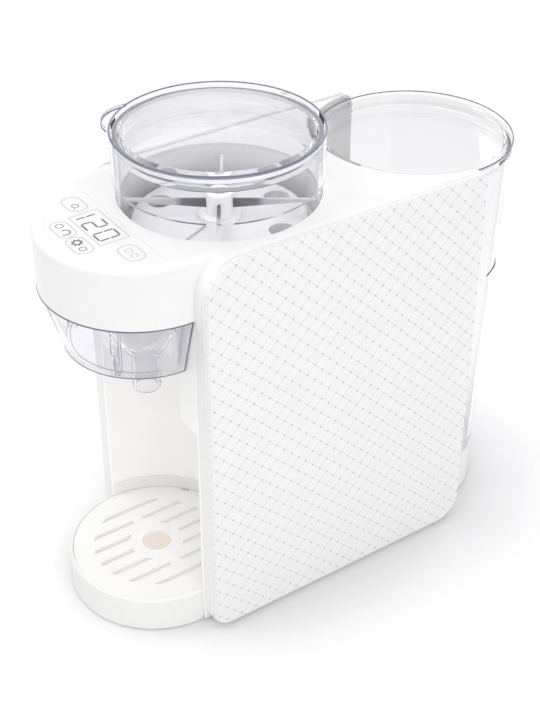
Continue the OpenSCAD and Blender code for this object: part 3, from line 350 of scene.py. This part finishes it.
def arm_painted_shade():
    """Painted shade: dark at the root of each stirring arm, paler towards its tip."""
    t = Tree("arm_painted_shade")
    xyz = t.node("ShaderNodeSeparateXYZ")
    t.link(t.place(), xyz.inputs[0])
    x, y = xyz.outputs["X"], t.math("SUBTRACT", xyz.outputs["Y"], BOWL_Y)
    out = t.math("DIVIDE", t.length(x, y), ARM_REACH)
    stops = [(0.15, (0.035, 0.035, 0.04)), (0.38, (0.09, 0.09, 0.10)),
             (0.46, (0.42, 0.42, 0.43)), (0.9, (0.70, 0.70, 0.71))]
    t.link(t.ramp(out, stops), t.bsdf.inputs["Base Color"])
    t.link(t.span(t.noise(60, 4), 0.3, 0.45), t.bsdf.inputs["Roughness"])
    t.bump(t.noise(900, 2), 0.03)
    return t.mat


def glow(material, colour, strength):
    """Painted light: a faint glow of its own, though the part is no lamp, for places that the
    photograph shows evenly lit.
    """
    sockets = material.node_tree.nodes["Principled BSDF"].inputs
    sockets["Emission Color"].default_value = (*colour, 1)
    sockets["Emission Strength"].default_value = strength
    return material


WHITE = plastic("white_gloss", (0.905, 0.905, 0.905), 0.22)
SATIN = plastic("white_satin", (0.90, 0.896, 0.888), 0.38, grain=0.04)
WELL = plastic("well_white", (0.95, 0.945, 0.94), 0.35, spread=0.006, grain=0.03)
# painted light: the recess liner glows faintly, lifting the shade under the head
LINER_PAINTED_LIGHT = glow(plastic("liner_white_painted_light", (0.95, 0.942, 0.935), 0.35, spread=0.006, grain=0.03),
             (1, 0.99, 0.98), 0.075)
CREAM = plastic("grille_white", (0.94, 0.934, 0.925), 0.33, grain=0.04)
GREY = plastic("grey_plastic", (0.62, 0.62, 0.64), 0.4, grain=0.05)
PALE = plastic("pale_grey", (0.72, 0.72, 0.735), 0.4, grain=0.05)
DARK = plastic("dark_plastic", (0.035, 0.037, 0.042), 0.42, spread=0.05, grain=0.08)
IVORY = plastic("gear_plastic", (0.80, 0.77, 0.68), 0.4, grain=0.04)
SEAL = plastic("seal_rubber", (0.50, 0.50, 0.52), 0.55, spread=0.03, grain=0.1)
SOFT = plastic("lid_silicone", (0.84, 0.84, 0.87), 0.45, grain=0.05)
FOOT = plastic("foot_rubber", (0.03, 0.03, 0.03), 0.7, spread=0.06, grain=0.2)
HOSE = plastic("hose_silicone", (0.72, 0.72, 0.70), 0.45, spread=0.02, grain=0.05)
BOARD = plastic("circuit_board", (0.02, 0.16, 0.07), 0.35, spread=0.08, grain=0.1)
PRINT = plastic("print_grey", (0.17, 0.17, 0.18), 0.35, spread=0.04, grain=0.02)
PALE_PRINT = plastic("print_pale", (0.45, 0.45, 0.47), 0.35, spread=0.04, grain=0.02)
STEEL = metal("steel", (0.72, 0.72, 0.73), 0.28)
BRASS = metal("brass", (0.80, 0.62, 0.30), 0.3)
PANEL = lattice()
CLEAR = clear("clear_plastic", (0.98, 0.98, 0.985), (0.45, 0.45, 0.53), 4)
LID = clear("clear_lid", (0.96, 0.96, 0.97), (0.42, 0.42, 0.52), 8)
TANK = clear("clear_tank", (0.955, 0.955, 0.962), (0.45, 0.46, 0.54), 8)
COVER = clear("clear_cover", (0.935, 0.935, 0.952), (0.42, 0.42, 0.52), 7)
# painted reflection: dark lines laid on the edges of clear parts, where the plastic only looks
# dark
RIM_PAINTED_REFLECTION = plastic("painted_reflection_edge", (0.16, 0.16, 0.24), 0.12, spread=0.05, coat=0.4)
FAINT_RIM_PAINTED_REFLECTION = plastic("painted_reflection_edge_faint", (0.42, 0.42, 0.50), 0.12, spread=0.05, coat=0.4)
ARMS_PAINTED_SHADE = arm_painted_shade()
# painted light: the tray's basin glows, evening out the shade inside it
BASIN_PAINTED_LIGHT = glow(plastic("basin_tan_painted_light", (0.76, 0.73, 0.69), 0.45, spread=0.03),
             (0.70, 0.645, 0.60), 0.42)

LOOK = {
    WHITE: "left_housing right_housing top_cover head_floor rear_cover tank_dock control_film",
    LINER_PAINTED_LIGHT: "recess_liner",
    WELL: "bowl_well",
    SATIN: "base_plate drip_tray stirrer powder_chute water_spout valve_cage heater_clamp",
    CREAM: "drip_grille",
    GREY: "tank_valve",
    PALE: "scraper_plate metering_wheel",
    DARK: "water_pump power_inlet display_digits",
    IVORY: "drive_gear",
    SEAL: "dock_seal valve_washer",
    SOFT: "lid_seal",
    FOOT: "rubber_feet",
    HOSE: "supply_hose pressure_hose outlet_hose",
    BOARD: "display_board main_board",
    STEEL: "base_screws case_screws motor_bracket dosing_motor water_heater hub_nut valve_spring",
    BRASS: "motor_pinion",
    PANEL: "left_panel right_panel",
    CLEAR: "powder_bowl",
    LID: "powder_lid",
    TANK: "water_tank tank_lid",
    COVER: "funnel_cover mixing_funnel",
}
for material, names in LOOK.items():
    for name in names.split():
        mesh = NODES[name].data
        mesh.materials.clear()
        mesh.materials.append(material)
        for p in mesh.polygons:
            p.material_index = 0


def paint(name, material, chosen):
    """Gives another material to the faces of a node whose middle is chosen."""
    mesh = NODES[name].data
    mesh.materials.append(material)
    last = len(mesh.materials) - 1
    for p in mesh.polygons:
        if chosen(p.center):
            p.material_index = last


def from_axis(at, axis_y):
    return math.hypot(at.x, at.y - axis_y)


# the stirrer's arms, outside its hub and above its foot, take the painted shade
HUB_R = 0.0092
ARMS_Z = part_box("stirrer")[0].z + 0.004
paint("stirrer", ARMS_PAINTED_SHADE, lambda c: from_axis(c, BOWL_Y) > HUB_R and c.z > ARMS_Z)
# the tray's basin, inside its wall and below its rim, which glows with painted light
BASIN_R = 0.0587
BASIN_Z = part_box("drip_tray")[0].z + 0.0225
paint("drip_tray", BASIN_PAINTED_LIGHT, lambda c: from_axis(c, NOZZLE_Y) < BASIN_R and c.z < BASIN_Z)


# ---- printed marks on the touch film ----

def ribbon(bm, points, width, z, closed=False):
    """A flat line of even width through points given in millimetres."""
    pts = [Vector((x * MM, y * MM)) for x, y in points]
    n = len(pts)
    sides = []
    for i in range(n):
        a = pts[(i - 1) % n] if closed or i > 0 else pts[i]
        b = pts[(i + 1) % n] if closed or i < n - 1 else pts[i]
        d = (b - a).normalized()
        sides.append(Vector((-d.y, d.x)) * width * MM / 2)
    rows = [(bm.verts.new((*(p + s), z)), bm.verts.new((*(p - s), z))) for p, s in zip(pts, sides)]
    for i in range(n if closed else n - 1):
        a, b = rows[i], rows[(i + 1) % n]
        bm.faces.new((a[0], a[1], b[1], b[0]))


def arc(cx, cy, r, start, end, steps=24):
    out = []
    for i in range(steps + 1):
        a = math.radians(start + (end - start) * i / steps)
        out.append((cx + r * math.cos(a), cy + r * math.sin(a)))
    return out


def rounded(cx, cy, w, h, r, steps=10):
    """The outline of a rectangle with rounded corners."""
    out = []
    for sx, sy, start in ((1, 1, 0), (-1, 1, 90), (-1, -1, 180), (1, -1, 270)):
        out += arc(cx + sx * (w / 2 - r), cy + sy * (h / 2 - r), r, start, start + 90, steps)
    return out


def piece(name, bm, material, body, smooth=False):
    """Makes a piece of the scene from a mesh, and sets it on the body that carries it."""
    bmesh.ops.recalc_face_normals(bm, faces=bm.faces)
    mesh = bpy.data.meshes.new(name)
    bm.to_mesh(mesh)
    bm.free()
    mesh.materials.append(material)
    if smooth:
        for p in mesh.polygons:
            p.use_smooth = True
    obj = bpy.data.objects.new(name, mesh)
    bpy.context.scene.collection.objects.link(obj)
    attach(obj, body)


def add_marks():
    """The printed marks, in millimetres on the deck, just above the film."""
    z = DECK_Z + 0.00006
    bm = bmesh.new()
    # display frame
    ribbon(bm, rounded(-0.8, -136.4, 40.6, 19.9, 0.6, 3), 0.45, z, True)
    # the rims of the touch keys
    ribbon(bm, rounded(-34.4, -135.3, 19.5, 12.6, 6), 0.5, z, True)
    ribbon(bm, rounded(-10.0, -155.8, 21.0, 11.6, 5.6), 0.5, z, True)
    ribbon(bm, rounded(12.2, -156.3, 21.0, 11.8, 5.7), 0.5, z, True)
    piece("key_rims", bm, PALE_PRINT, "machine")
    bm = bmesh.new()
    ribbon(bm, rounded(37.0, -135.3, 19.5, 12.6, 6), 0.45, z, True)
    ribbon(bm, arc(33.6, -135.3, 2.2, 0, 340), 0.4, z)
    ribbon(bm, arc(40.4, -135.3, 2.2, 0, 340), 0.4, z)
    piece("key_rim_faint", bm, PALE_PRINT, "machine")
    # seven-segment numerals
    bm = bmesh.new()
    top, mid, low = -130.2, -137.0, -144.0
    w = 1.25

    def seg(x0, y0, x1, y1):
        d = Vector((x1 - x0, y1 - y0)).normalized() * 0.55
        ribbon(bm, [(x0 + d.x, y0 + d.y), (x1 - d.x, y1 - d.y)], w, z)

    seg(-16.3, low, -16.3, mid)
    seg(-16.3, mid, -16.3, top)
    a, b = -9.2, -0.4
    for s in ((a, top, b, top), (b, top, b, mid), (a, mid, b, mid), (a, low, a, mid),
              (a, low, b, low)):
        seg(*s)
    a, b = 5.6, 14.6
    for s in ((a, top, b, top), (b, top, b, mid), (b, mid, b, low), (a, low, a, mid),
              (a, mid, a, top), (a, low, b, low)):
        seg(*s)
    # plain marks in the keys: rings, an open ring and a toothed ring
    ribbon(bm, arc(-32.3, -135.8, 2.1, 0, 360), 0.6, z)
    ribbon(bm, [(-29.6, -137.6), (-28.0, -138.4)], 0.6, z)
    ribbon(bm, arc(-15.0, -155.6, 2.4, 0, 360), 0.6, z)
    ribbon(bm, arc(-6.2, -156.2, 3.0, -60, 200), 0.9, z)
    ribbon(bm, arc(8.3, -156.0, 2.3, 0, 360), 1.1, z)
    for i in range(8):
        c, s = math.cos(math.radians(45 * i)), math.sin(math.radians(45 * i))
        ribbon(bm, [(8.3 + 2.6 * c, -156.0 + 2.6 * s), (8.3 + 3.9 * c, -156.0 + 3.9 * s)], 1.1, z)
    ribbon(bm, arc(16.8, -156.6, 2.2, 0, 360), 0.6, z)
    piece("numerals", bm, PRINT, "machine")


def tube_line(bm, points, radius, closed=False, sides=8):
    """A thin round line through points given in metres."""
    pts = [Vector(p) for p in points]
    n = len(pts)
    rings = []
    for i in range(n):
        a = pts[(i - 1) % n] if closed or i > 0 else pts[i]
        b = pts[(i + 1) % n] if closed or i < n - 1 else pts[i]
        along = (b - a).normalized()
        side = along.cross(Vector((0, 0, 1)))
        if side.length <= 0.2:
            side = along.cross(Vector((1, 0, 0)))
        side = side.normalized()
        up = side.cross(along)
        ring = []
        for k in range(sides):
            a = k * 2 * math.pi / sides
            ring.append(bm.verts.new(pts[i] + radius * (math.cos(a) * side + math.sin(a) * up)))
        rings.append(ring)
    for i in range(n if closed else n - 1):
        a, b = rings[i], rings[(i + 1) % n]
        for k in range(sides):
            bm.faces.new((a[k], a[(k + 1) % sides], b[(k + 1) % sides], b[k]))
    if not closed:
        bm.faces.new(rings[0])
        bm.faces.new(rings[-1][::-1])


def circle(r, y, z, start=0.0, end=360.0, steps=128):
    """Points in metres round the upright axis at one y; the last angle is left off."""
    out = []
    for i in range(steps):
        a = math.radians(start + (end - start) * i / steps)
        out.append((r * math.cos(a), y + r * math.sin(a), z))
    return out


def glints(name, material, body, lines):
    """One piece of thin dark lines on a clear piece, a painted reflection along its edges; each
    line is (points, radius, closed).
    """
    bm = bmesh.new()
    for points, radius, closed in lines:
        tube_line(bm, points, radius, closed)
    piece(name, bm, material, body, True)


def add_lid_glints():
    """Painted reflection: dark lines along the rims of both lids, and along the crescent tab."""
    lid_r, into = 0.0673, 0.0005
    lid_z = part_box("powder_lid")[1].z
    glints("powder_lid_rim_painted_reflection", RIM_PAINTED_REFLECTION, "bowl_lid",
           [(circle(lid_r - into, BOWL_Y, lid_z - into), 0.00062, True)])
    # the tab is part of a circle of its own that stands out past the lid
    tab_r, tab_reach, turn = 0.024, 0.0075, 221
    mid = lid_r + tab_reach - tab_r
    cx, cy = mid * math.cos(math.radians(turn)), BOWL_Y + mid * math.sin(math.radians(turn))
    for name, look, down, thick in (("tab_low_edge_painted_reflection", RIM_PAINTED_REFLECTION, 0.0036, 0.0006),
                                    ("tab_top_edge_painted_reflection", FAINT_RIM_PAINTED_REFLECTION, 0.0013, 0.0003)):
        edge = [(cx + x, y, lid_z - down)
                for x, y, z in circle(tab_r - 0.0002, cy, 0, turn - 50, turn + 51, 48)]
        glints(name, look, "bowl_lid", [(edge, thick, False)])
    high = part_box("tank_lid")[1]
    glints("tank_lid_rim_painted_reflection", RIM_PAINTED_REFLECTION, "tank_cover",
           [(circle(high.x - into, TANK_Y, high.z - into), 0.00055, True)])


def add_funnel_glints():
    """Painted reflection: dark lines along the edges of the funnel's cover and its ribs, and round
    the nozzle's lip.
    """
    low, high = (corner.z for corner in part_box("funnel_cover"))
    r_top, r_low, into = 0.0645, 0.0517, 0.0004
    axis_y, end_y = NOZZLE_Y - 0.0004, NOZZLE_Y - 0.0007
    glints("funnel_cover_rim_painted_reflection", RIM_PAINTED_REFLECTION, "funnel", [
        (circle(r_top - 0.0003, axis_y, high - into, 206, 361), 0.00055, False),
        (circle(r_low - 0.0003, axis_y, low + into, 180, 361), 0.00035, False),
        ([(r_low - into, end_y, low + into), (r_top - into, end_y, high - into)],
         0.00045, False),
        ([(-r_low + into, end_y, low + into), (-r_top + into, end_y, high - into)],
         0.00045, False),
    ])

    faint = 0.00026
    lines = []
    # both faces of both ribs, in R and Z
    rib_low, rib_high, rib_half, rib_line = low + 0.0008, high - 0.0014, 0.001, 0.00028
    outline = ((0.0440, rib_high), (0.0440, rib_low), (0.0500, rib_low),
               (0.0520, rib_low + 0.012))
    for turn in (-49, 229):
        c, s = math.cos(math.radians(turn)), math.sin(math.radians(turn))
        for side in (-rib_half, rib_half):
            rib = [(r * c - side * s, NOZZLE_Y + r * s + side * c, z) for r, z in outline]
            lines.append((rib, rib_line, False))
    # the inner bottom edge and the inner sides of both ends
    lines.append((circle(0.0475, NOZZLE_Y, low + 0.0025, 196, 344), faint, False))
    end_y = NOZZLE_Y - 0.0012
    for side in (-1, 1):
        lines.append(([(side * 0.0450, end_y, low + 0.002), (side * 0.0540, end_y, high - 0.002)],
                      faint, False))
    # the nozzle's lip
    lip_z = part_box("mixing_funnel")[0].z
    lip_r = max(from_axis(v.co, NOZZLE_Y) for v in NODES["mixing_funnel"].data.vertices
                if v.co.z < lip_z + 0.0006)
    lines.append((circle(lip_r - 0.0002, NOZZLE_Y, lip_z + 0.0003), 0.0003, True))
    glints("funnel_faint_painted_reflections", FAINT_RIM_PAINTED_REFLECTION, "funnel", lines)


add_camera()
add_world()
add_area("key", (-0.5, -0.8, 2.0), (0, 0, 0.15), 1.6, 11.2)
add_area("fill", (1.6, -0.4, 1.2), (0, 0, 0.15), 1.4, 9)
add_area("front", (0.9, -1.6, 0.45), (0, 0, 0.12), 1.0, 0.4)
add_area("back", (-0.7, 1.6, 0.9), (0, 0, 0.15), 1.2, 4)
add_floor()
add_marks()
add_lid_glints()
add_funnel_glints()

bpy.context.scene.view_settings.view_transform = "Standard"


def plain(bounds):
    return [list(corner) for corner in bounds]
